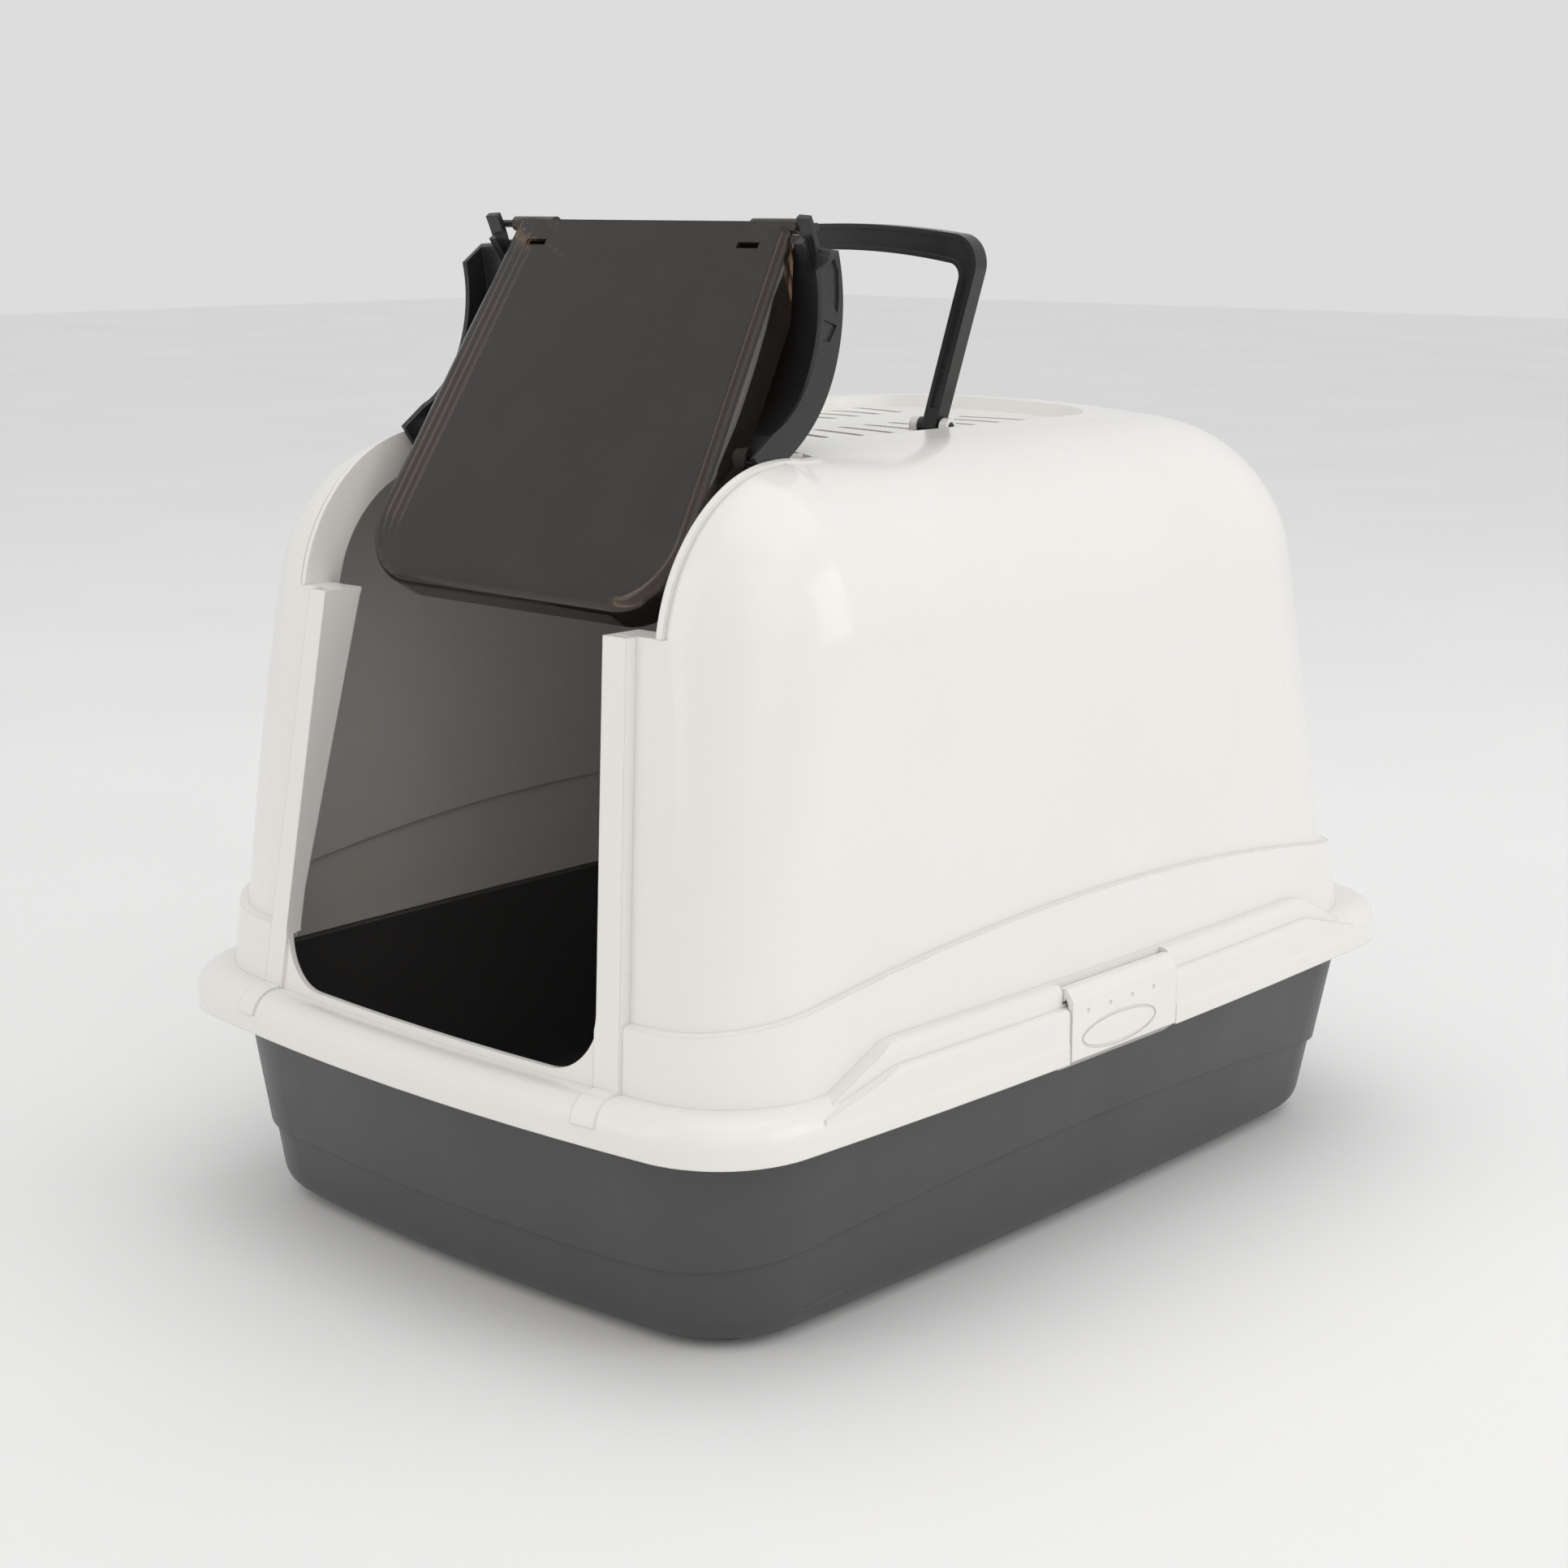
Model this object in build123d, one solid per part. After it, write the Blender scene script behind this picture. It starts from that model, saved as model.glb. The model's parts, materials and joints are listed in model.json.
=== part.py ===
from build123d import *
import os
from math import atan2, cos, degrees, hypot, radians, sin

os.makedirs("parts", exist_ok=True)

# Hooded cat litter box, millimetres. Origin: floor level, centre of the tray. -Y is the entrance side.

# ---- overall sizes ----
FLANGE_W = 400.0        # width over the hood's flange
FLANGE_L = 548.6        # length over the hood's flange
ROOF_Z = 378.0          # top of the hood's crown
SEAM_Z = 98.0           # lower edge of the hood's flange
WALL = 2.6              # moulded wall of hood and tray
GAP = 0.5               # clearance between pieces that lift or fold past each other
RUN = 0.05              # radial clearance of a pin in the hole it turns in
SEAT = 0.3              # play between the tray's rim and the flange above it

# ---- hood ----
LEDGE_SIDE = 13.0       # flange standing out past the hood's lower band, at the sides
LEDGE_END = 16.5        # the same, front and rear
LEAN_SIDE = 0.022       # inward lean of the walls, per mm of height
LEAN_FRONT = 0.13
LEAN_REAR = 0.18
CORNER_FRONT = ((68.0, 46.0), (190.0, 47.0), (290.0, 56.0), (398.0, 100.0))   # (height, corner radius)
CORNER_REAR = (56.0, 70.0, 80.0, 92.0)        # rear corner radii at the same heights
ROOF_R = 80.0           # rounding from the walls into the roof
BOW_SIDE = 6.0          # how far the long walls bow out between their corners
BOW_END = 13.0          # the same, front and rear
CROWN = 5.0             # rise of the roof over 112 mm from its middle line
BAND = 4.0              # the lower band stands out this far
BAND_Z = 170.0          # top of the band at mid length
BAND_SAG = 25.0         # the band's top edge falls this much towards the ends
FLANGE_Z = 117.5        # top of the flange
FLANGE_R = 12.0         # rounding along the flange's upper edge
FLANGE_CORNER = 51.0
RIB_Z = 134.0           # top of the raised rib along each side of the flange
RIB_STEP_Z = 124.0      # shoulder on the rib's outer side
RIB_STEP = 5.0
RIB_FRONT, RIB_REAR = -160.0, 160.0
RIB_SLOPE = 46.0        # length of the rib's sloping ends

# ---- entrance and visor opening ----
OPEN_HALF = 116.0       # half width of the visor opening
POST_Z = 305.0          # top of the entrance posts
ROOF_EDGE_Y = -126.0    # front edge of the roof, at the visor's hinge
SILL_Z = 121.0
DOORWAY_TOP = 92.0      # half width between the posts at their tops
DOORWAY_TAPER = 0.0844  # widening per mm downwards
DOORWAY_R = 26.0
POST_STRIP = 13.0       # width of the raised strip on each post
STRIP_PROUD = 5.5
STRIP_LOW_Z = 107.0
FLANGE_STRIP = 1.0      # and this far from the flange, where it runs down over it
SOCKET_DEEP = 12.0
RETURN_DEPTH = 18.0     # inward wall along the opening's curved edges
POST_RETURN = 15.0      # inward wall along the posts, at their tops
ARCH_RIDGE = 3.5        # raised edge along the opening
GROOVE_W, GROOVE_D = 1.8, 0.8

# ---- visor, drawn shut ----
HINGE_Y, HINGE_Z = -143.5, 372.5
VISOR_OPEN = 144.5      # degrees from shut to open
VISOR_WALL = 2.5
VISOR_RIM = 13.0        # depth of the visor's side walls
VISOR_EDGE_Z = 319.0    # lower edge of its skin
VISOR_TAIL = 16.0       # skin behind the hinge axis
EAR_IN, EAR_OUT = 96.5, 101.0
VISOR_TIP_X = 104.0     # the skin is narrower than this beside the door's ears
VISOR_POCKETS = (       # shallow recesses in the outer side faces, (y, z) corners
    ((-209.4, 320.5), (-215.5, 321.5), (-214.5, 327), (-208, 337), (-203.5, 341.5), (-204, 330), (-205, 324)),
    ((-195.5, 338.2), (-200.5, 345.4), (-193, 348.2), (-189, 345)),
)
LUG_R = 4.6
HINGE_PIN_R = 2.0
LUGS = ((80.0, 87.5), (100.5, 108.0))   # hood lugs, |x|
VISOR_LUG = (88.0, 100.0)

# ---- door ----
PIN_Y, PIN_Z = -227.0, 313.5   # door axis, visor shut
DOOR_TOP = 89.5         # half width at the axis
DOOR_TAPER = 0.080
DOOR_LEN = 187.0        # below its axis
DOOR_FRONT = 3.6        # face in front of the axis
DOOR_BACK = 15.0        # side walls reach this far behind the axis
DOOR_WALL = 2.0
DOOR_CORNER = 34.0
DOOR_EDGE_R = 7.0       # rounding from the face into the side walls
DOOR_SLOT = (62.0, 75.0, 10.0, 13.0)   # window under each barrel: |x| from, to, depth below the axis from, to
DOOR_TILT = 31.3        # rest lean of the door, visor open
BARREL_R = 3.6
BARREL_IN, BARREL_OUT = 64.0, 91.5
DOOR_PIN_R = 1.8

# ---- tray ----
FOOT_T = 3.0            # height of the rubber feet
FOOT_R = 15.0
FOOT_X, FOOT_Y = 130.0, 199.0
TRAY_W, TRAY_L = 162.0, 230.0      # half sizes of the sharp-cornered outline at the underside
TRAY_LEAN_SIDE, TRAY_LEAN_END = 0.12, 0.175
TRAY_CORNER = 46.0      # rear corners, and front corners at the underside
TRAY_CORNER_FLARE = 0.2 # the front corners open out by this per mm of height
TRAY_BOW_END = 11.0
TRAY_BASE_R = 15.0
TRAY_STEP = 2.0         # the upper wall stands out this far
TRAY_STEP_Z = 54.0
TRAY_STEP_SAG = 16.0
TRAY_LIP_Z = 107.6      # top of the outward lip that stiffens the wall

# ---- carrying handle ----
HANDLE_Y = 26.0
HANDLE_PIVOT_Z = 373.0
HANDLE_FOOT = 54.0      # leg centre at the pivot
HANDLE_TOP = 82.0       # leg centre at the top corner
HANDLE_TOP_Z = 456.0
HANDLE_BOW = 6.5
HANDLE_W = 11.5         # leg width along X
HANDLE_T = 8.4
HANDLE_GRIP_H = 12.6
HANDLE_PIN_R = 2.2
HANDLE_RIM, HANDLE_CHANNEL = 2.2, 1.2   # rim round the sunk faces of the bail, and their depth
EAR_T = 4.5
EAR_LEAN = 1.6          # extra room for the outward lean of the legs

# ---- roof recess, vent and filter ----
RECESS_X = 84.0
RECESS_FRONT, RECESS_REAR = -104.0, 132.0
RECESS_D = 6.0
SLOT_W = 5.0
SLOTS = 8
SLOT_PITCH = 20.0
SLOT_FIRST_Y = -44.0
FILTER_X, FILTER_FRONT, FILTER_REAR = 62.0, -62.0, 118.0
FILTER_T = 8.0

# ---- side clips ----
CLIP_Y = -5.0
CLIP_HALF = 41.0
CLIP_LOW_Z = 93.6
CLIP_HOOK_X = 190.5     # how far in the turned-under lower edge reaches
CLIP_T = 2.7
CLIP_AXIS_X, CLIP_AXIS_Z = 192.6, 129.2
CLIP_BARREL_R = 3.3
CLIP_PIN_R = 1.6
CLIP_PAD_Y, CLIP_PAD_L, CLIP_PAD_H = -9.5, 29.0, 8.0   # outline of the thumb pad

FAR = 700.0             # larger than the whole object


def block(x0, x1, y0, y1, z0, z1):
    return Pos((x0 + x1) / 2, (y0 + y1) / 2, (z0 + z1) / 2) * Box(x1 - x0, y1 - y0, z1 - z0)


def both(shape):
    """A piece together with its mirror image across the middle plane."""
    return shape + mirror(shape, about=Plane.YZ)


def pair(x0, x1, y0, y1, z0, z1):
    """Two blocks at |x| between x0 and x1."""
    return both(block(x0, x1, y0, y1, z0, z1))


def along_x(x0, x1, y, z, radius):
    """Cylinder parallel to X."""
    return Pos((x0 + x1) / 2, y, z) * Rot(0, 90, 0) * Cylinder(radius, x1 - x0)


def along_y(y0, y1, x, z, radius):
    return Pos(x, (y0 + y1) / 2, z) * Rot(90, 0, 0) * Cylinder(radius, y1 - y0)


def outline(w, front, rear, bow_side, bow_end, z):
    """Face with sharp corners at (+-w, front / rear) and bowed sides."""
    mid = (front + rear) / 2
    path = ThreePointArc((-w, front), (0, front - bow_end), (w, front))
    path += ThreePointArc((w, front), (w + bow_side, mid), (w, rear))
    path += ThreePointArc((w, rear), (0, rear + bow_end), (-w, rear))
    path += ThreePointArc((-w, rear), (-w - bow_side, mid), (-w, front))
    return Pos(0, 0, z) * make_face(path)


def rounded(w, half_l, bow_side, bow_end, radius, z, front_radius=None):
    face = outline(w, -half_l, half_l, bow_side, bow_end, z)
    if front_radius is None:
        return fillet(face.vertices(), radius)
    face = fillet(face.vertices().sort_by(Axis.Y)[:2], front_radius)
    return fillet(face.vertices().sort_by(Axis.Y)[-2:], radius)


def prism_x(points, half_w=FAR):
    """Prism along X from a list of (y, z) corners."""
    return extrude(Plane.YZ * make_face(Polyline(*points, close=True)), half_w, both=True)


def prism_y(points, y0, y1):
    """Prism along Y from a list of (x, z) corners."""
    face = Plane((0, y0, 0), x_dir=(1, 0, 0), z_dir=(0, -1, 0)) * make_face(Polyline(*points, close=True))
    return extrude(face, y0 - y1)


def under_arc(mid_z, sag):
    """Prism along X below an arc that peaks at mid length and has fallen by sag at 250 mm."""
    end = 300.0
    end_z = mid_z - sag * (end / 250) ** 2
    path = Polyline((end, end_z), (end, -50), (-end, -50), (-end, end_z))
    path += ThreePointArc((-end, end_z), (0, mid_z), (end, end_z))
    return extrude(Plane.YZ * make_face(path), FAR, both=True)


# ---------- hood ----------
HOOD_W = FLANGE_W / 2 - LEDGE_SIDE - BAND - BOW_SIDE
HOOD_L = FLANGE_L / 2 - LEDGE_END - BAND - BOW_END


def hood_body(grow):
    """The hood's closed outer form, grown outwards by a distance."""

    def level(z, front_r, rear_r):
        rise = z - FLANGE_Z
        face = outline(HOOD_W - LEAN_SIDE * rise + grow,
                       -(HOOD_L - LEAN_FRONT * rise + grow),
                       HOOD_L - LEAN_REAR * rise + grow,
                       BOW_SIDE, BOW_END, z)
        sharp = face.vertices().sort_by(Axis.Y)
        face = fillet(sharp[:2], front_r + grow)
        return fillet(face.vertices().sort_by(Axis.Y)[-2:], rear_r + grow)

    levels = [level(z, front_r, rear_r) for (z, front_r), rear_r in zip(CORNER_FRONT, CORNER_REAR)]
    body = loft(levels)
    top = ROOF_Z + grow
    reach = 300.0
    sag = CROWN * (reach / 112) ** 2
    path = ThreePointArc((-reach, top - sag), (0, top), (reach, top - sag))
    path += Polyline((reach, top - sag), (reach, -99), (-reach, -99), (-reach, top - sag))
    body &= extrude(Plane.XZ * make_face(path), FAR, both=True)
    rim = [edge for edge in body.edges() if edge.center().Z > ROOF_Z - 45]
    return fillet(rim, ROOF_R + grow)


def band_under(drop):
    """Space below the band's top edge."""
    return under_arc(BAND_Z - drop, BAND_SAG)


def flange_outline(shrink, z):
    w = FLANGE_W / 2 - 9.0 - shrink
    half_l = FLANGE_L / 2 - 15.0 - shrink
    return rounded(w, half_l, 9.0, 15.0, FLANGE_CORNER - shrink, z)


def rib_prism(top, inset, half_w=FAR):
    """Side view of the raised rib, with rounded breaks in its top line."""
    low = SEAM_Z
    face = Plane.YZ * make_face(Polyline(
        (RIB_FRONT - RIB_SLOPE + inset, low), (RIB_FRONT - RIB_SLOPE + inset, FLANGE_Z - 6 - inset),
        (RIB_FRONT + inset, top), (RIB_REAR - inset, top),
        (RIB_REAR + RIB_SLOPE - inset, FLANGE_Z - 6 - inset), (RIB_REAR + RIB_SLOPE - inset, low), close=True))
    breaks = [v for v in face.vertices() if v.Z > top - 0.01]
    return extrude(fillet(breaks, 26.0), half_w, both=True)


def flange_plain(inset):
    """The flange without its ribs."""
    top = FLANGE_Z - inset
    low = SEAM_Z - (1 if inset > 0 else 0)
    form = extrude(flange_outline(inset, low), top - low)
    return fillet([e for e in form.edges() if e.center().Z > top - 0.01], FLANGE_R - inset)


def flange_form(inset):
    """The flange and its side ribs as a closed form, inset from the outer faces."""
    form = flange_plain(inset)
    shoulder = extrude(flange_outline(inset + 0.4, SEAM_Z), RIB_STEP_Z - inset - SEAM_Z)
    shoulder = fillet([e for e in shoulder.edges() if e.center().Z > RIB_STEP_Z - inset - 0.01], 3.0)
    crest = extrude(flange_outline(inset + RIB_STEP, SEAM_Z), RIB_Z - inset - SEAM_Z)
    crest = fillet([e for e in crest.edges() if e.center().Z > RIB_Z - inset - 0.01], 4.0)
    form += shoulder & rib_prism(RIB_STEP_Z, inset)
    form += crest & rib_prism(RIB_Z, inset)
    grown = GAP + 0.2 + (WALL if inset else 0)
    y0, y1 = CLIP_Y - CLIP_HALF - grown, CLIP_Y + CLIP_HALF + grown
    floor = CLIP_AXIS_Z - CLIP_BARREL_R - GAP - inset
    back = CLIP_AXIS_X - CLIP_BARREL_R - GAP - inset
    face = FLANGE_W / 2 - CLIP_T - GAP - inset
    form -= pair(back, FAR, y0, y1, floor, FAR)
    form -= pair(face, FAR, y0, y1, 0, FAR)
    return form


def doorway(extra):
    """Entrance opening, wider all round by a distance."""
    low = SILL_Z - extra
    half_low = DOORWAY_TOP + DOORWAY_TAPER * (POST_Z - low) + extra
    half_top = DOORWAY_TOP - DOORWAY_TAPER * 5 + extra
    face = make_face(Polyline((-half_low, low), (half_low, low), (half_top, POST_Z + 5),
                              (-half_top, POST_Z + 5), close=True))
    corners = [v for v in face.vertices() if v.Y < low + 1]
    face = Plane((0, -150, 0), x_dir=(1, 0, 0), z_dir=(0, -1, 0)) * fillet(corners, DOORWAY_R + extra)
    return extrude(face, 200)


def post_side(inner, outer, z0, z1):
    """Slanted prism beside the doorway: from the doorway's edge plus inner to plus outer."""
    def edge(z, out):
        return DOORWAY_TOP + DOORWAY_TAPER * (POST_Z - z) + out
    return both(prism_y([(edge(z0, inner), z0), (edge(z0, outer), z0),
                         (edge(z1, outer), z1), (edge(z1, inner), z1)], -150, -350))


def recess(inset):
    """Shallow bay in the roof for the vent and the folded handle."""
    face = Pos(0, (RECESS_FRONT + RECESS_REAR) / 2, ROOF_Z - 14) * RectangleRounded(
        2 * (RECESS_X - 12 + inset), RECESS_REAR - RECESS_FRONT - 24 + 2 * inset, 22)
    return extrude(face, 30, taper=-45)


def vent_slots():
    """Herringbone slots, longer and steeper towards the rear."""
    cut = None
    for i in range(SLOTS):
        length = 30.0 + 3.6 * i
        turn = -8.0 + 4.6 * i
        x = 17.0 + length / 2
        slot = Pos(x, SLOT_FIRST_Y + SLOT_PITCH * i + 4, ROOF_Z - 8) * Rot(0, 0, turn) * extrude(
            SlotOverall(length, SLOT_W), 14, both=True)
        cut = slot if cut is None else cut + slot
    return both(cut)


def make_hood():
    body, shell_in = hood_body(0), hood_body(-WALL)
    band, band_in = hood_body(BAND), hood_body(BAND - WALL)
    bay = recess(0) - hood_body(-RECESS_D)
    bay_in = recess(WALL) - hood_body(-RECESS_D - WALL)
    outer = body + (band & band_under(0))
    inner = (shell_in - bay_in) + (band_in & band_under(WALL))
    above = block(-FAR, FAR, -FAR, FAR, FLANGE_Z - WALL, FAR)
    shell = (outer - bay) & above
    shell += flange_form(0)
    hollow = inner & block(-FAR, FAR, -FAR, FAR, SEAM_Z - 5, FAR)
    shell -= hollow
    shell -= flange_form(WALL) - outer
    shell -= flange_form(WALL) & block(-FAR, FAR, -FAR, FAR, 0, FLANGE_Z - WALL)

    # raised strips down both sides of the doorway, hollow at their tops
    strips = (hood_body(STRIP_PROUD) - shell_in) & post_side(-1, POST_STRIP, STRIP_LOW_Z, POST_Z)
    strips &= block(-FAR, FAR, -FAR, -200, FLANGE_Z - 1, POST_Z)
    shell += strips - (band_in & band_under(WALL))
    foot = flange_plain(-FLANGE_STRIP) - flange_plain(WALL)
    foot &= post_side(0, POST_STRIP, STRIP_LOW_Z, SILL_Z + FLANGE_STRIP)
    shell += (foot & block(-FAR, FAR, -FAR, -200, 0, FAR)) - (band_in & band_under(WALL))
    socket = (hood_body(STRIP_PROUD - 2.0) - hood_body(0.6)) & post_side(2.5, POST_STRIP - 2,
                                                                        POST_Z - SOCKET_DEEP, POST_Z + 1)

    # inward walls along the posts, deep at the top and dying out downwards
    front_y = -(HOOD_L + BOW_END) + LEAN_FRONT * (POST_Z - FLANGE_Z) + 4.0
    wedge = prism_x([(-FAR, SILL_Z + 20), (front_y - LEAN_FRONT * (POST_Z - SILL_Z) + 4, SILL_Z + 20),
                     (front_y + POST_RETURN, POST_Z), (-FAR, POST_Z)])
    shell += hood_body(-0.2) & wedge & post_side(0, WALL, SILL_Z + 20, POST_Z)

    # curved edges of the visor opening, and the shelf at their feet
    sides = pair(OPEN_HALF, OPEN_HALF + WALL, -FAR, ROOF_EDGE_Y + 1, POST_Z - WALL, FAR)
    shell += (body - hood_body(-RETURN_DEPTH)) & sides
    shelf = pair(DOORWAY_TOP + 0.1, OPEN_HALF + WALL, -FAR, front_y + POST_RETURN, POST_Z - WALL, POST_Z)
    shell += body & shelf
    ridge = pair(OPEN_HALF, OPEN_HALF + ARCH_RIDGE, -FAR, ROOF_EDGE_Y, POST_Z, FAR)
    shell += (hood_body(0.9) - shell_in) & ridge
    groove_x = OPEN_HALF + ARCH_RIDGE
    groove = pair(groove_x, groove_x + GROOVE_W, -FAR, ROOF_EDGE_Y - 24, POST_Z, FAR)
    shell -= (hood_body(6) - hood_body(-GROOVE_D)) & groove

    # turned-down front edge of the roof, with the lugs of the visor's hinge
    lip = block(-OPEN_HALF - 1, OPEN_HALF + 1, ROOF_EDGE_Y, ROOF_EDGE_Y + WALL, POST_Z, FAR)
    shell += (body - hood_body(-10)) & lip
    shell -= block(-OPEN_HALF, OPEN_HALF, -FAR, ROOF_EDGE_Y, POST_Z, FAR)
    shell -= doorway(0)
    shell -= socket
    for x0, x1 in LUGS:
        arm = along_x(x0, x1, HINGE_Y, HINGE_Z, LUG_R)
        arm += block(x0, x1, HINGE_Y, ROOF_EDGE_Y + 1, HINGE_Z - LUG_R, HINGE_Z + 1.0)
        shell += both(arm)
        shell -= both(along_x(x0, x1, HINGE_Y, HINGE_Z, HINGE_PIN_R))

    # vent, and the seats of the handle
    shell -= vent_slots()
    shell -= both(handle_slot())
    shell += both(handle_ears())
    shell -= both(along_x(*handle_pin_span(), HANDLE_Y, HANDLE_PIVOT_Z, HANDLE_PIN_R))

    # rails under the roof that carry the filter
    rail = block(FILTER_X + 4.0, FILTER_X + 6.6, FILTER_FRONT, FILTER_REAR, ROOF_Z - 26, ROOF_Z - 8)
    rail += block(FILTER_X - 1.0, FILTER_X + 6.6, FILTER_FRONT, FILTER_REAR, ROOF_Z - 26, ROOF_Z - 24)
    shell += both(rail)

    # holes for the clips' pins in the rib's end walls
    reach = CLIP_HALF + GAP + 0.2 + WALL
    shell -= both(along_y(CLIP_Y - reach, CLIP_Y + reach, CLIP_AXIS_X, CLIP_AXIS_Z, CLIP_PIN_R))
    return shell


def handle_slot():
    return block(HANDLE_FOOT - HANDLE_W / 2 - GAP, HANDLE_FOOT + HANDLE_W / 2 + GAP + EAR_LEAN,
                 HANDLE_Y - HANDLE_T / 2 - 1.5, HANDLE_Y + 21, ROOF_Z - 16, ROOF_Z + 5)


def handle_pin_span():
    half = HANDLE_W / 2 + GAP + EAR_T
    return HANDLE_FOOT - half, HANDLE_FOOT + half + EAR_LEAN


def handle_ears():
    """Two ears beside the leg."""
    ears = None
    start, end = handle_pin_span()
    for x0 in (start, end - EAR_T):
        ear = along_x(x0, x0 + EAR_T, HANDLE_Y, HANDLE_PIVOT_Z, 4.2)
        ear += block(x0, x0 + EAR_T, HANDLE_Y - 4.2, HANDLE_Y + 4.2, ROOF_Z - 13, HANDLE_PIVOT_Z)
        ears = ear if ears is None else ears + ear
    return ears


# ---------- tray ----------
def tray_form(grow, z0):
    def level(z):
        w = TRAY_W + TRAY_LEAN_SIDE * (z - FOOT_T) + grow
        half_l = TRAY_L + TRAY_LEAN_END * (z - FOOT_T) + grow
        radius = TRAY_CORNER + grow
        return rounded(w, half_l, BOW_SIDE, TRAY_BOW_END, radius, z, radius + TRAY_CORNER_FLARE * (z - FOOT_T))
    return loft([level(z0), level(FLANGE_Z - WALL - SEAT)], ruled=True)


def base_rounded(form, radius):
    z = form.bounding_box().min.Z
    return fillet([e for e in form.edges() if e.center().Z < z + 0.01], radius)


def make_tray():
    outer = base_rounded(tray_form(0, FOOT_T), TRAY_BASE_R)
    step = under_arc(TRAY_STEP_Z, TRAY_STEP_SAG)
    outer += tray_form(TRAY_STEP, FOOT_T) - step
    rim_z = FLANGE_Z - WALL - SEAT
    rim = extrude(flange_outline(FLANGE_R + 1.2, rim_z - WALL), WALL)
    rim -= pair(CLIP_HOOK_X - 1.0, FAR, CLIP_Y - CLIP_HALF - 4, CLIP_Y + CLIP_HALF + 4, 0, FAR)
    lip = extrude(flange_outline(WALL + GAP + 0.5, TRAY_LIP_Z - WALL), WALL)
    zone = CLIP_HALF + 4
    lip -= pair(CLIP_HOOK_X - 1.0, FAR, CLIP_Y - zone, CLIP_Y + zone, 0, FAR)
    outer += rim
    outer += lip
    return outer - base_rounded(tray_form(-WALL, FOOT_T + WALL), TRAY_BASE_R - WALL)


def make_feet():
    feet = []
    for x in (-FOOT_X, FOOT_X):
        for y in (-FOOT_Y, FOOT_Y):
            foot = Pos(x, y, FOOT_T / 2) * Cylinder(FOOT_R, FOOT_T)
            feet.append(fillet([e for e in foot.edges() if e.center().Z < 0.01], 1.0))
    return Compound(children=feet)


# ---------- visor, drawn shut and turned open about its hinge ----------
def opened(shape, y=HINGE_Y, z=HINGE_Z, turn=VISOR_OPEN):
    """Turn from the shut position about an axis parallel to X."""
    return Pos(0, y, z) * Rot(-turn, 0, 0) * Pos(0, -y, -z) * shape


def make_visor():
    half = OPEN_HALF - GAP
    region = block(-half, half, -FAR, HINGE_Y + VISOR_TAIL, POST_Z + GAP, FAR)
    form = hood_body(-0.3) & region
    skin = form - hood_body(-0.3 - VISOR_WALL)
    skin -= block(-EAR_IN, EAR_IN, -FAR, -200, 0, VISOR_EDGE_Z)
    walls = (form - hood_body(-0.3 - VISOR_RIM)) & pair(half - VISOR_WALL, half, -FAR, 0, 0, FAR)
    visor = skin + walls
    visor -= pair(VISOR_TIP_X, FAR, -FAR, -200, 0, VISOR_EDGE_Z + 1)
    for corners in VISOR_POCKETS:
        pocket = prism_x(corners)
        visor -= pocket & pair(half - 1.2, FAR, -FAR, 0, 0, FAR)
    notch = LUGS[0][0] - GAP - 1.0, LUGS[1][1] + GAP
    visor -= pair(*notch, HINGE_Y - LUG_R - 1.4, 0, 0, FAR)
    lug = along_x(*VISOR_LUG, HINGE_Y, HINGE_Z, LUG_R)
    lug += block(*VISOR_LUG, HINGE_Y - LUG_R - 4, HINGE_Y, HINGE_Z - LUG_R, HINGE_Z + 0.6)
    visor += both(lug & hood_body(2.0))
    visor -= both(along_x(*VISOR_LUG, HINGE_Y, HINGE_Z, HINGE_PIN_R + RUN))
    ear = along_x(EAR_IN, EAR_OUT, PIN_Y, PIN_Z, 5.2)
    ear += block(EAR_IN, EAR_OUT, PIN_Y - 3, PIN_Y + 12, PIN_Z, PIN_Z + 26)
    ear = ear & hood_body(-0.3)
    visor += both(ear)
    visor -= both(along_x(EAR_IN, EAR_OUT, PIN_Y, PIN_Z, DOOR_PIN_R + RUN))
    return visor


# ---------- door, drawn hanging from its axis with the visor shut ----------
def door_face(inset, back, z_low_extra=0.0):
    low = PIN_Z - DOOR_LEN + inset
    def half(z):
        return DOOR_TOP + DOOR_TAPER * (PIN_Z - z) - inset
    face = make_face(Polyline((-half(low), low), (half(low), low), (half(PIN_Z), PIN_Z + 0.5),
                              (-half(PIN_Z), PIN_Z + 0.5), close=True))
    corners = [v for v in face.vertices() if v.Y < low + 1]
    face = fillet(corners, DOOR_CORNER - inset)
    return Plane((0, back, 0), x_dir=(1, 0, 0), z_dir=(0, -1, 0)) * face


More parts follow.
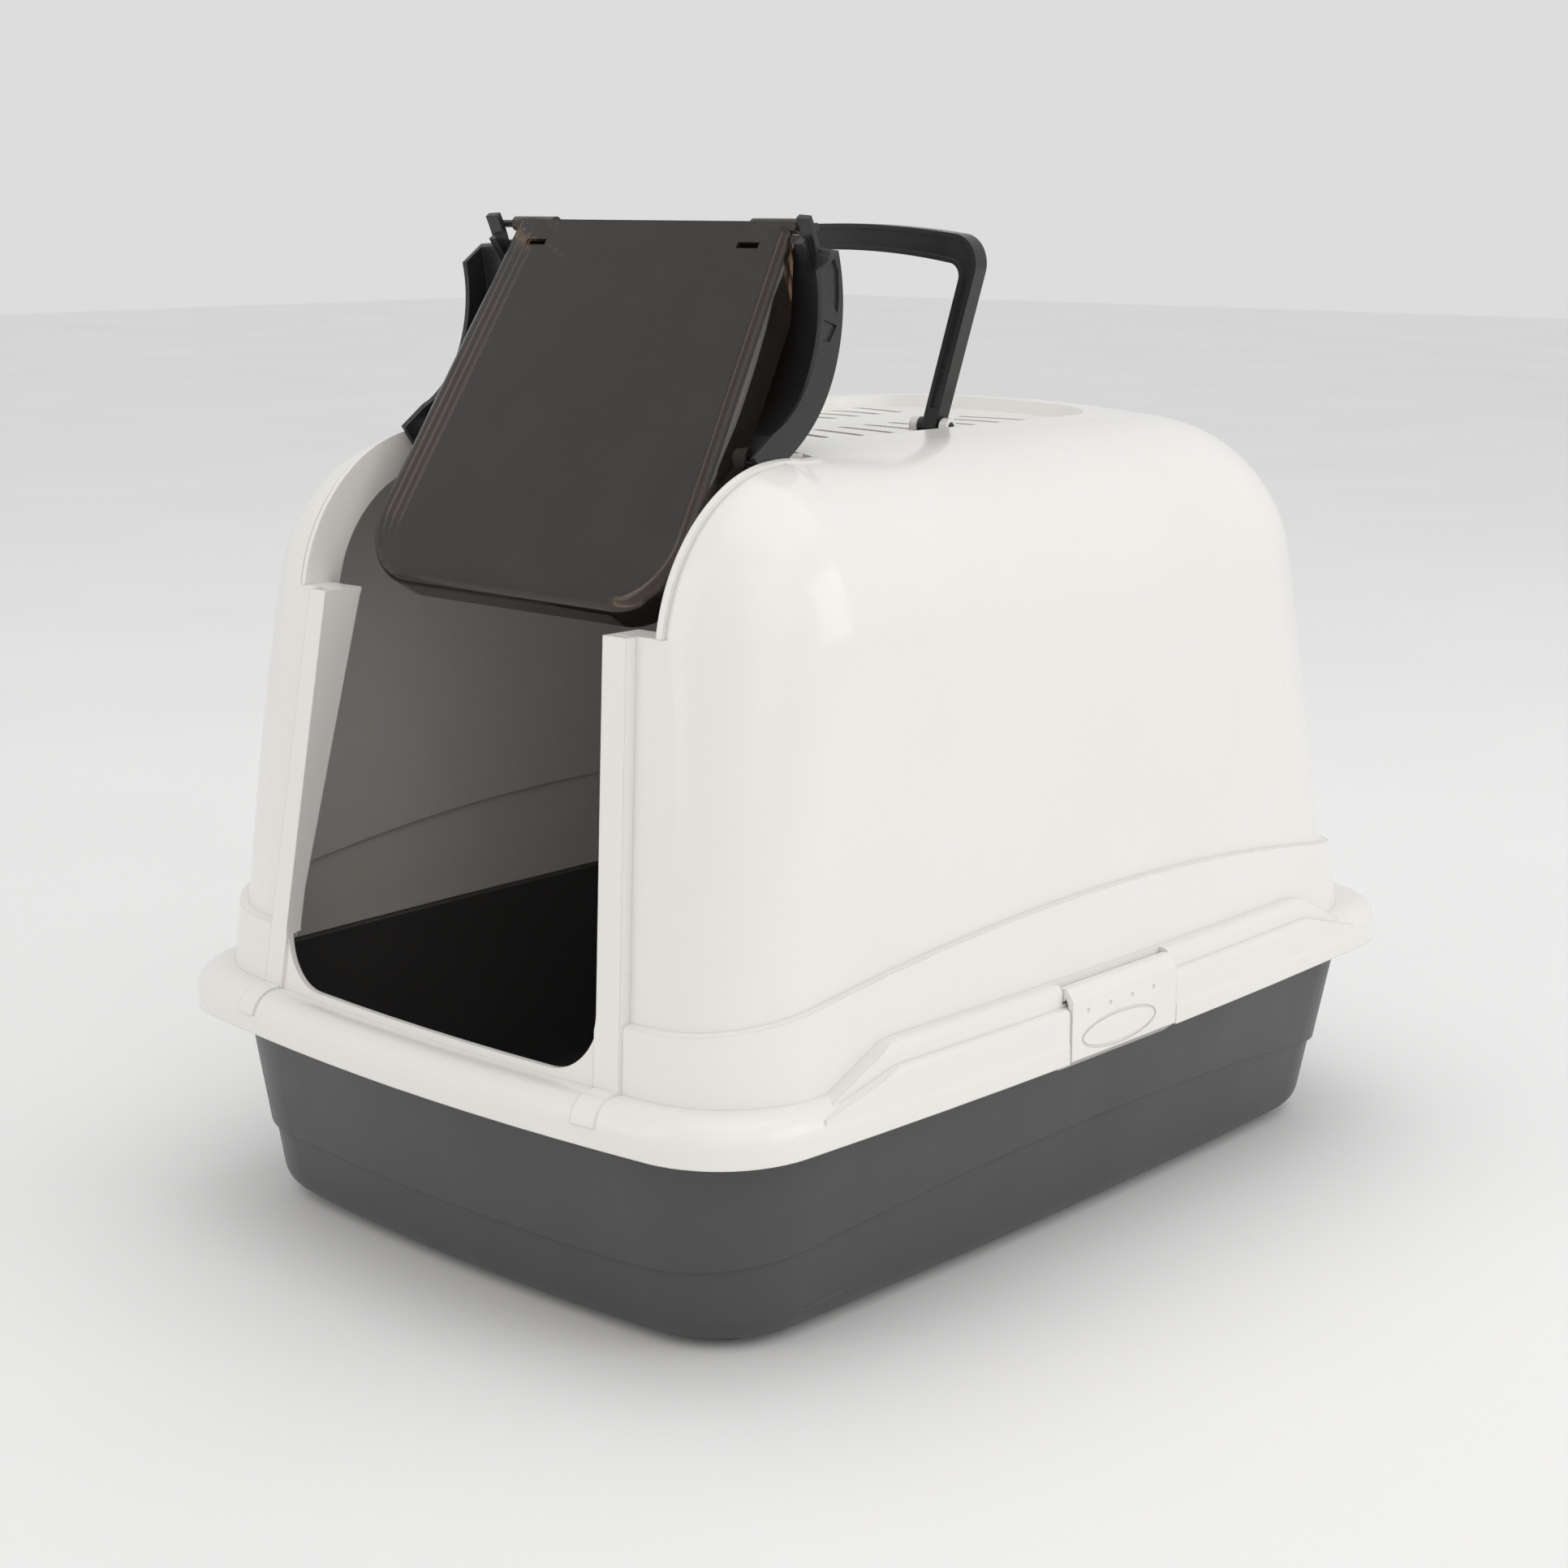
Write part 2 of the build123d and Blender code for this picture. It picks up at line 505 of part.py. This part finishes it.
def make_door():
    back = PIN_Y + DOOR_BACK
    form = extrude(door_face(0, back), DOOR_BACK + DOOR_FRONT)
    front_y = PIN_Y - DOOR_FRONT
    form = fillet([e for e in form.edges() if e.center().Y < front_y + 0.01
                   and e.center().Z < PIN_Z - 2], DOOR_EDGE_R)
    hollow = extrude(door_face(DOOR_WALL, back + 1), DOOR_BACK + DOOR_FRONT - DOOR_WALL + 1)
    hollow = fillet([e for e in hollow.edges() if e.center().Y < front_y + DOOR_WALL + 0.01
                     and e.center().Z < PIN_Z - 2], DOOR_EDGE_R - DOOR_WALL)
    hollow += block(-60, 60, PIN_Y - DOOR_FRONT + DOOR_WALL, back + 1, PIN_Z - 30, PIN_Z + 5)
    door = form - hollow
    slope = prism_x([(PIN_Y - 1, PIN_Z + 1), (PIN_Y - 1, PIN_Z - 2), (back + 2, PIN_Z - 44),
                     (back + 2, PIN_Z + 9), (PIN_Y - 1, PIN_Z + 9)])
    door -= slope
    barrel = along_x(BARREL_IN, BARREL_OUT, PIN_Y, PIN_Z, BARREL_R)
    door += both(barrel)
    door -= both(along_x(BARREL_IN + 4, BARREL_OUT, PIN_Y, PIN_Z, DOOR_PIN_R + RUN))
    x0, x1, down0, down1 = DOOR_SLOT
    door -= pair(x0, x1, front_y - 1, back, PIN_Z - down1, PIN_Z - down0)
    return door


def at_rest_door(shape):
    """Carry the door with the opening visor, then lean it against the hinge."""
    turned = opened(shape)
    arm_y, arm_z = PIN_Y - HINGE_Y, PIN_Z - HINGE_Z
    turn = radians(-VISOR_OPEN)
    y = HINGE_Y + arm_y * cos(turn) - arm_z * sin(turn)
    z = HINGE_Z + arm_y * sin(turn) + arm_z * cos(turn)
    return opened(turned, y, z, DOOR_TILT - VISOR_OPEN), (y, z)


# ---------- handle ----------
def make_handle():
    top_mid = HANDLE_TOP_Z + HANDLE_BOW
    outer_foot, outer_top = HANDLE_FOOT + HANDLE_W / 2, HANDLE_TOP + HANDLE_W / 2
    path = ThreePointArc((-outer_top, HANDLE_TOP_Z + HANDLE_GRIP_H / 2),
                         (0, top_mid + HANDLE_GRIP_H / 2), (outer_top, HANDLE_TOP_Z + HANDLE_GRIP_H / 2))
    path += Polyline((outer_top, HANDLE_TOP_Z + HANDLE_GRIP_H / 2), (outer_foot, HANDLE_PIVOT_Z),
                     (-outer_foot, HANDLE_PIVOT_Z), (-outer_top, HANDLE_TOP_Z + HANDLE_GRIP_H / 2))
    outside = make_face(path)
    outside = fillet([v for v in outside.vertices() if v.Y > HANDLE_TOP_Z], 14.0)
    inner_foot, inner_top = HANDLE_FOOT - HANDLE_W / 2, HANDLE_TOP - HANDLE_W / 2 - 1.5
    low = HANDLE_TOP_Z - HANDLE_GRIP_H / 2
    path = ThreePointArc((-inner_top, low), (0, low + HANDLE_BOW), (inner_top, low))
    path += Polyline((inner_top, low), (inner_foot, HANDLE_PIVOT_Z - 9), (-inner_foot, HANDLE_PIVOT_Z - 9),
                     (-inner_top, low))
    inside = make_face(path)
    inside = fillet([v for v in inside.vertices() if v.Y > low - 1], 6.0)
    ring = outside - inside
    bail = extrude(Plane.XZ * ring, HANDLE_T / 2, both=True)
    channel = Plane.XZ * offset(ring, -HANDLE_RIM, kind=Kind.INTERSECTION)
    channel = channel & block(-FAR, FAR, -1, 1, HANDLE_PIVOT_Z + 9, FAR)
    for side in (-1, 1):
        bail -= Pos(0, side * (HANDLE_T / 2 - HANDLE_CHANNEL), 0) * extrude(channel, -side * 2)
    bail = Pos(0, HANDLE_Y, 0) * bail
    for x in (-HANDLE_FOOT, HANDLE_FOOT):
        bail += along_x(x - HANDLE_W / 2, x + HANDLE_W / 2, HANDLE_Y, HANDLE_PIVOT_Z, HANDLE_T / 2)
        bail -= along_x(x - HANDLE_W, x + HANDLE_W, HANDLE_Y, HANDLE_PIVOT_Z, HANDLE_PIN_R + RUN)
    return bail


# ---------- side clips ----------
def make_clip():
    y0, y1 = CLIP_Y - CLIP_HALF, CLIP_Y + CLIP_HALF
    outer = FLANGE_W / 2
    face_in = outer - CLIP_T
    top = CLIP_AXIS_Z + CLIP_BARREL_R
    low = SEAM_Z - GAP
    points = [(CLIP_AXIS_X, top), (outer - 4, top), (outer, top - 5), (outer, low + 1.5),
              (CLIP_HOOK_X + 2.5, CLIP_LOW_Z), (CLIP_HOOK_X, CLIP_LOW_Z), (CLIP_HOOK_X, low - 1.2),
              (face_in - GAP, low - 0.8), (face_in, low + 0.2),
              (face_in, top - 7), (face_in - 2, top - CLIP_T), (CLIP_AXIS_X, top - CLIP_T)]
    clip = prism_y(points, y1, y0)
    long = [e for e in clip.edges() if e.length > CLIP_HALF and e.center().X > outer - 5]
    clip = fillet([e for e in long if e.center().Z > top - 6 or e.center().X > outer - 0.1], 1.8)
    clip += along_y(y0, y1, CLIP_AXIS_X, CLIP_AXIS_Z, CLIP_BARREL_R)
    ring = Ellipse(CLIP_PAD_H, CLIP_PAD_L) - Ellipse(CLIP_PAD_H - 1.3, CLIP_PAD_L - 1.3)
    clip -= Pos(outer - 0.7, CLIP_PAD_Y, 108) * Rot(0, 90, 0) * extrude(ring, 2)
    for i in range(4):
        clip -= Pos(outer, y0 + 12 + 17.0 * i, 121) * Sphere(1.1)
    clip -= along_y(y0, y1, CLIP_AXIS_X, CLIP_AXIS_Z, CLIP_PIN_R + RUN)
    return clip


# ---------- filter ----------
def make_filter():
    z = ROOF_Z - 24 + 2.4
    return block(-FILTER_X + 2, FILTER_X - 2, FILTER_FRONT + 3, FILTER_REAR - 3, z, z + FILTER_T)


def make_filter_cover():
    z = ROOF_Z - 24
    frame = block(-FILTER_X - 3, FILTER_X + 3, FILTER_FRONT + 0.5, FILTER_REAR - 0.5, z, z + 2.4)
    for i in range(6):
        for j in range(8):
            x = -50.0 + 20.0 * i
            y = FILTER_FRONT + 20 + 20.0 * j
            frame -= Pos(x, y, z) * Box(15, 15, 10)
    return frame


def save(shape, name):
    export_step(shape, f"parts/{name}.step")


hood = make_hood()
save(hood, "hood")
save(make_tray(), "litter_tray")
save(make_feet(), "rubber_feet")
save(opened(make_visor()), "visor")
door, (door_y, door_z) = at_rest_door(make_door())
save(door, "flap_door")
save(make_handle(), "handle")
clip = make_clip()
save(clip, "clip_right")
save(mirror(clip, about=Plane.YZ), "clip_left")
save(make_filter(), "carbon_filter")
save(make_filter_cover(), "filter_cover")
clip_reach = CLIP_HALF + GAP + 0.2 + WALL
for side, sign in (("left", -1), ("right", 1)):
    x0, x1 = sorted((sign * (LUGS[0][0] - 1), sign * LUGS[1][1]))
    save(along_x(x0, x1, HINGE_Y, HINGE_Z, HINGE_PIN_R), f"visor_hinge_pin_{side}")
    x0, x1 = sorted((sign * (BARREL_IN + 4.5), sign * EAR_OUT))
    save(along_x(x0, x1, door_y, door_z, DOOR_PIN_R), f"door_hinge_pin_{side}")
    x0, x1 = sorted(sign * x for x in handle_pin_span())
    save(along_x(x0, x1, HANDLE_Y, HANDLE_PIVOT_Z, HANDLE_PIN_R), f"handle_pin_{side}")
    save(along_y(CLIP_Y - clip_reach, CLIP_Y + clip_reach, sign * CLIP_AXIS_X, CLIP_AXIS_Z, CLIP_PIN_R),
         f"clip_pin_{side}")
print("door axis at rest", round(door_y, 3), round(door_z, 3))
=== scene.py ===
import json
import math

import bpy
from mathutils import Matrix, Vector

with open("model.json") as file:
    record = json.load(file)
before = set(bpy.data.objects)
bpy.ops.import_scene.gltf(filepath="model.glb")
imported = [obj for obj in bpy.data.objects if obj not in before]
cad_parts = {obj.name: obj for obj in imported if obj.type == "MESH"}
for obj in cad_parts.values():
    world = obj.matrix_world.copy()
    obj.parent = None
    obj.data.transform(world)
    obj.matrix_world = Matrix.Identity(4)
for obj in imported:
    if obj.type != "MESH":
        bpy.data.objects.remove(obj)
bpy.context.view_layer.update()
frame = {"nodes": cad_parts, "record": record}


# ---------- colour and node helpers ----------
def linear(hex_colour):
    """An sRGB hex colour as linear RGBA."""
    parts = [int(hex_colour[i:i + 2], 16) / 255 for i in (1, 3, 5)]
    return tuple(c / 12.92 if c <= 0.04045 else ((c + 0.055) / 1.055) ** 2.4 for c in parts) + (1.0,)


def node(tree, kind, settings=None, links=None):
    """Adds one shader node; links maps an input name to another node's output, or to a plain value."""
    made = tree.nodes.new(kind)
    for key, value in (settings or {}).items():
        setattr(made, key, value)
    for name, source in (links or {}).items():
        socket = made.inputs[name]
        if isinstance(source, bpy.types.NodeSocket):
            tree.links.new(source, socket)
        else:
            socket.default_value = source
    return made


def new_material(name):
    material = bpy.data.materials.new(name)
    material.use_nodes = True
    material.node_tree.nodes.clear()
    return material, material.node_tree


def noise(tree, place, size, detail=2.0, rough=0.5):
    """Noise whose features are about size metres across."""
    return node(tree, "ShaderNodeTexNoise", None,
                {"Vector": place, "Scale": 1.0 / size, "Detail": detail, "Roughness": rough}).outputs["Fac"]


def spread(tree, value, low, high):
    """Maps the middle of a noise to the range low..high."""
    return node(tree, "ShaderNodeMapRange", None,
                {"Value": value, "From Min": 0.3, "From Max": 0.7, "To Min": low, "To Max": high}).outputs["Result"]


def surface_normal(tree, place, edge, waves, wave_height, grain, grain_height):
    """Softened edges, the slow waviness of a moulded wall, and the fine grain of its mould."""
    soft_edge = node(tree, "ShaderNodeBevel", {"samples": 4}, {"Radius": edge}).outputs["Normal"]
    wavy = node(tree, "ShaderNodeBump", None,
                {"Height": noise(tree, place, waves, 1.0), "Distance": wave_height, "Normal": soft_edge})
    return node(tree, "ShaderNodeBump", None,
                {"Height": noise(tree, place, grain, 3.0), "Distance": grain_height,
                 "Normal": wavy.outputs["Normal"]}).outputs["Normal"]


# ---------- materials ----------
def moulded_plastic(name, tone, shade, roughness, edge, waves, wave_height, grain, grain_height, ior=1.5,
                    scatter=0.0):
    """Opaque moulded plastic; tone drifts to shade over the piece, and roughness is a (low, high) pair."""
    material, tree = new_material(name)
    place = node(tree, "ShaderNodeTexCoord").outputs["Object"]
    tint = node(tree, "ShaderNodeMix", {"data_type": "RGBA"})
    tree.links.new(spread(tree, noise(tree, place, 0.09), 0.0, 1.0), tint.inputs[0])
    tint.inputs[6].default_value = linear(tone)
    tint.inputs[7].default_value = linear(shade)
    shader = node(tree, "ShaderNodeBsdfPrincipled", None, {
        "Base Color": tint.outputs[2],
        "Roughness": spread(tree, noise(tree, place, 0.035, 4.0), *roughness),
        "IOR": ior,
        "Subsurface Weight": scatter,
        "Subsurface Scale": 0.002,
        "Normal": surface_normal(tree, place, edge, waves, wave_height, grain, grain_height)})
    node(tree, "ShaderNodeOutputMaterial", None, {"Surface": shader.outputs["BSDF"]})
    return material


def smoked_plastic():
    """Clear brown-tinted sheet: each surface passes part of the light, and gloss grows at a glancing view."""
    material, tree = new_material("smoked_clear_plastic")
    place = node(tree, "ShaderNodeTexCoord").outputs["Object"]
    normal = node(tree, "ShaderNodeBump", None,
                  {"Height": noise(tree, place, 0.05, 1.0), "Distance": 0.0001}).outputs["Normal"]
    clear = node(tree, "ShaderNodeBsdfTransparent", None, {"Color": linear("#A89684")})
    haze = node(tree, "ShaderNodeBsdfDiffuse", None, {"Color": linear("#6A625B"), "Normal": normal})
    body = node(tree, "ShaderNodeMixShader", None, {0: 0.12, 1: clear.outputs[0], 2: haze.outputs[0]})
    gloss = node(tree, "ShaderNodeBsdfGlossy", None,
                 {"Color": linear("#FFFFFF"), "Roughness": spread(tree, noise(tree, place, 0.03, 3.0), 0.07, 0.12),
                  "Normal": normal})
    edge_on = node(tree, "ShaderNodeFresnel", None, {"IOR": 1.49, "Normal": normal})
    shown = node(tree, "ShaderNodeMixShader", None,
                 {0: edge_on.outputs[0], 1: body.outputs[0], 2: gloss.outputs[0]})
    node(tree, "ShaderNodeOutputMaterial", None, {"Surface": shown.outputs[0]})
    return material


def filter_felt():
    """Loose black felt under the vent: dark, with a fibrous bump."""
    material, tree = new_material("black_carbon_felt")
    place = node(tree, "ShaderNodeTexCoord").outputs["Object"]
    fibres = node(tree, "ShaderNodeBump", None,
                  {"Height": noise(tree, place, 0.0012, 5.0, 0.7), "Distance": 0.0006})
    shader = node(tree, "ShaderNodeBsdfPrincipled", None, {
        "Base Color": linear("#1C1C1D"), "Roughness": 0.95, "Sheen Weight": 0.3,
        "Normal": fibres.outputs["Normal"]})
    node(tree, "ShaderNodeOutputMaterial", None, {"Surface": shader.outputs["BSDF"]})
    return material


def floor_paper():
    """Pale seamless backdrop paper, matt, with the faintest mottling."""
    material, tree = new_material("backdrop_paper")
    place = node(tree, "ShaderNodeTexCoord").outputs["Object"]
    tint = node(tree, "ShaderNodeMix", {"data_type": "RGBA"})
    tree.links.new(spread(tree, noise(tree, place, 0.4), 0.0, 1.0), tint.inputs[0])
    tint.inputs[6].default_value = linear("#F7F7F7")
    tint.inputs[7].default_value = linear("#F4F4F4")
    shader = node(tree, "ShaderNodeBsdfPrincipled", None, {"Base Color": tint.outputs[2], "Roughness": 0.85})
    node(tree, "ShaderNodeOutputMaterial", None, {"Surface": shader.outputs["BSDF"]})
    return material


FINISHES = {
    # glossy warm white: sharp soft-box reflections over a slightly wavy moulded wall
    "hood_plastic": moulded_plastic("glossy_warm_white_plastic", "#EEECE8", "#ECEAE5", (0.13, 0.20), 0.0009,
                                    0.11, 0.00025, 0.0009, 0.000003, scatter=0.05),
    # satin dark grey: broad soft sheen, fine mould grain
    "tray_plastic": moulded_plastic("satin_dark_grey_plastic", "#4B4A4B", "#484748", (0.36, 0.46), 0.0009,
                                    0.12, 0.0002, 0.0006, 0.00001),
    "smoked_plastic": smoked_plastic(),
    # satin black: pale edge highlights on the visor's frame and the handle
    "black_plastic": moulded_plastic("satin_black_plastic", "#2A2A2B", "#262627", (0.22, 0.34), 0.0007,
                                     0.05, 0.0001, 0.0007, 0.000008),
    "filter_felt": filter_felt(),
    # matt black rubber pads
    "foot_rubber": moulded_plastic("matt_black_rubber", "#1E1E1E", "#222222", (0.7, 0.85), 0.0005,
                                   0.02, 0.00005, 0.0005, 0.00002, ior=1.52),
}

slot_of = {part["node"]: part["material_slot"] for part in frame["record"]["subparts"]}
for name, piece in frame["nodes"].items():
    finish = FINISHES[slot_of[name]]
    for index in range(len(piece.data.materials)):
        piece.data.materials[index] = finish


# ---------- studio ----------
def panel(name, azimuth, distance, low, high, width, strength, taper):
    """Upright light panel facing the middle of the object, with clipped lower corners."""
    turn = math.radians(azimuth)
    centre = Vector((math.cos(turn), math.sin(turn), 0)) * distance
    across = Vector((-math.sin(turn), math.cos(turn), 0))
    half = width / 2
    shape = [(-half * 0.35, low), (half * 0.35, low), (half, low + taper), (half, high), (-half, high),
             (-half, low + taper)]
    points = [centre + across * x + Vector((0, 0, z)) for x, z in shape]
    mesh = bpy.data.meshes.new(name)
    mesh.from_pydata([tuple(p) for p in points], [], [tuple(range(len(points)))])
    sheet = bpy.data.objects.new(name, mesh)
    bpy.context.collection.objects.link(sheet)
    material, tree = new_material(name + "_light")
    glow = node(tree, "ShaderNodeEmission", None, {"Color": linear("#FFFCF8"), "Strength": strength})
    node(tree, "ShaderNodeOutputMaterial", None, {"Surface": glow.outputs[0]})
    mesh.materials.append(material)
    sheet.visible_camera = False
    return sheet


def area(name, place, aim, size, energy):
    light = bpy.data.lights.new(name, "AREA")
    light.shape = "RECTANGLE"
    light.size, light.size_y = size
    light.energy = energy
    lamp = bpy.data.objects.new(name, light)
    bpy.context.collection.objects.link(lamp)
    lamp.location = place
    lamp.rotation_euler = (Vector(aim) - Vector(place)).to_track_quat("-Z", "Y").to_euler()
    return lamp


floor_mesh = bpy.data.meshes.new("floor")
floor_mesh.from_pydata([(-9, -9, 0), (9, -9, 0), (9, 9, 0), (-9, 9, 0)], [], [(0, 1, 2, 3)])
floor = bpy.data.objects.new("floor", floor_mesh)
floor_mesh.materials.append(floor_paper())
bpy.context.collection.objects.link(floor)

panel("front_strip", -110, 2.3, 0.18, 2.6, 0.85, 1.6, 0.5)
panel("side_strip", -38, 2.3, 0.36, 3.4, 1.5, 1.2, 0.7)
area("top_box", (0.3, 0.1, 2.6), (0, 0, 0.2), (2.2, 2.2), 10)
area("right_box", (2.6, 0.9, 1.3), (0, 0, 0.2), (1.8, 1.8), 14)

world = bpy.data.worlds.new("white_studio")
bpy.context.scene.world = world
world.use_nodes = True
bpy.context.scene.view_settings.view_transform = "Standard"
world.node_tree.nodes["Background"].inputs["Color"].default_value = linear("#FFFFFF")
world.node_tree.nodes["Background"].inputs["Strength"].default_value = 0.72

# ---------- camera ----------
lens = bpy.data.cameras.new("camera")
lens.lens = 61.5
lens.sensor_width = 36.0
camera = bpy.data.objects.new("camera", lens)
bpy.context.collection.objects.link(camera)
camera.location = (0.8882, -0.9847, 0.4830)
camera.rotation_euler = Vector((-0.6619, 0.7181, -0.2152)).to_track_quat("-Z", "Y").to_euler()
bpy.context.scene.camera = camera
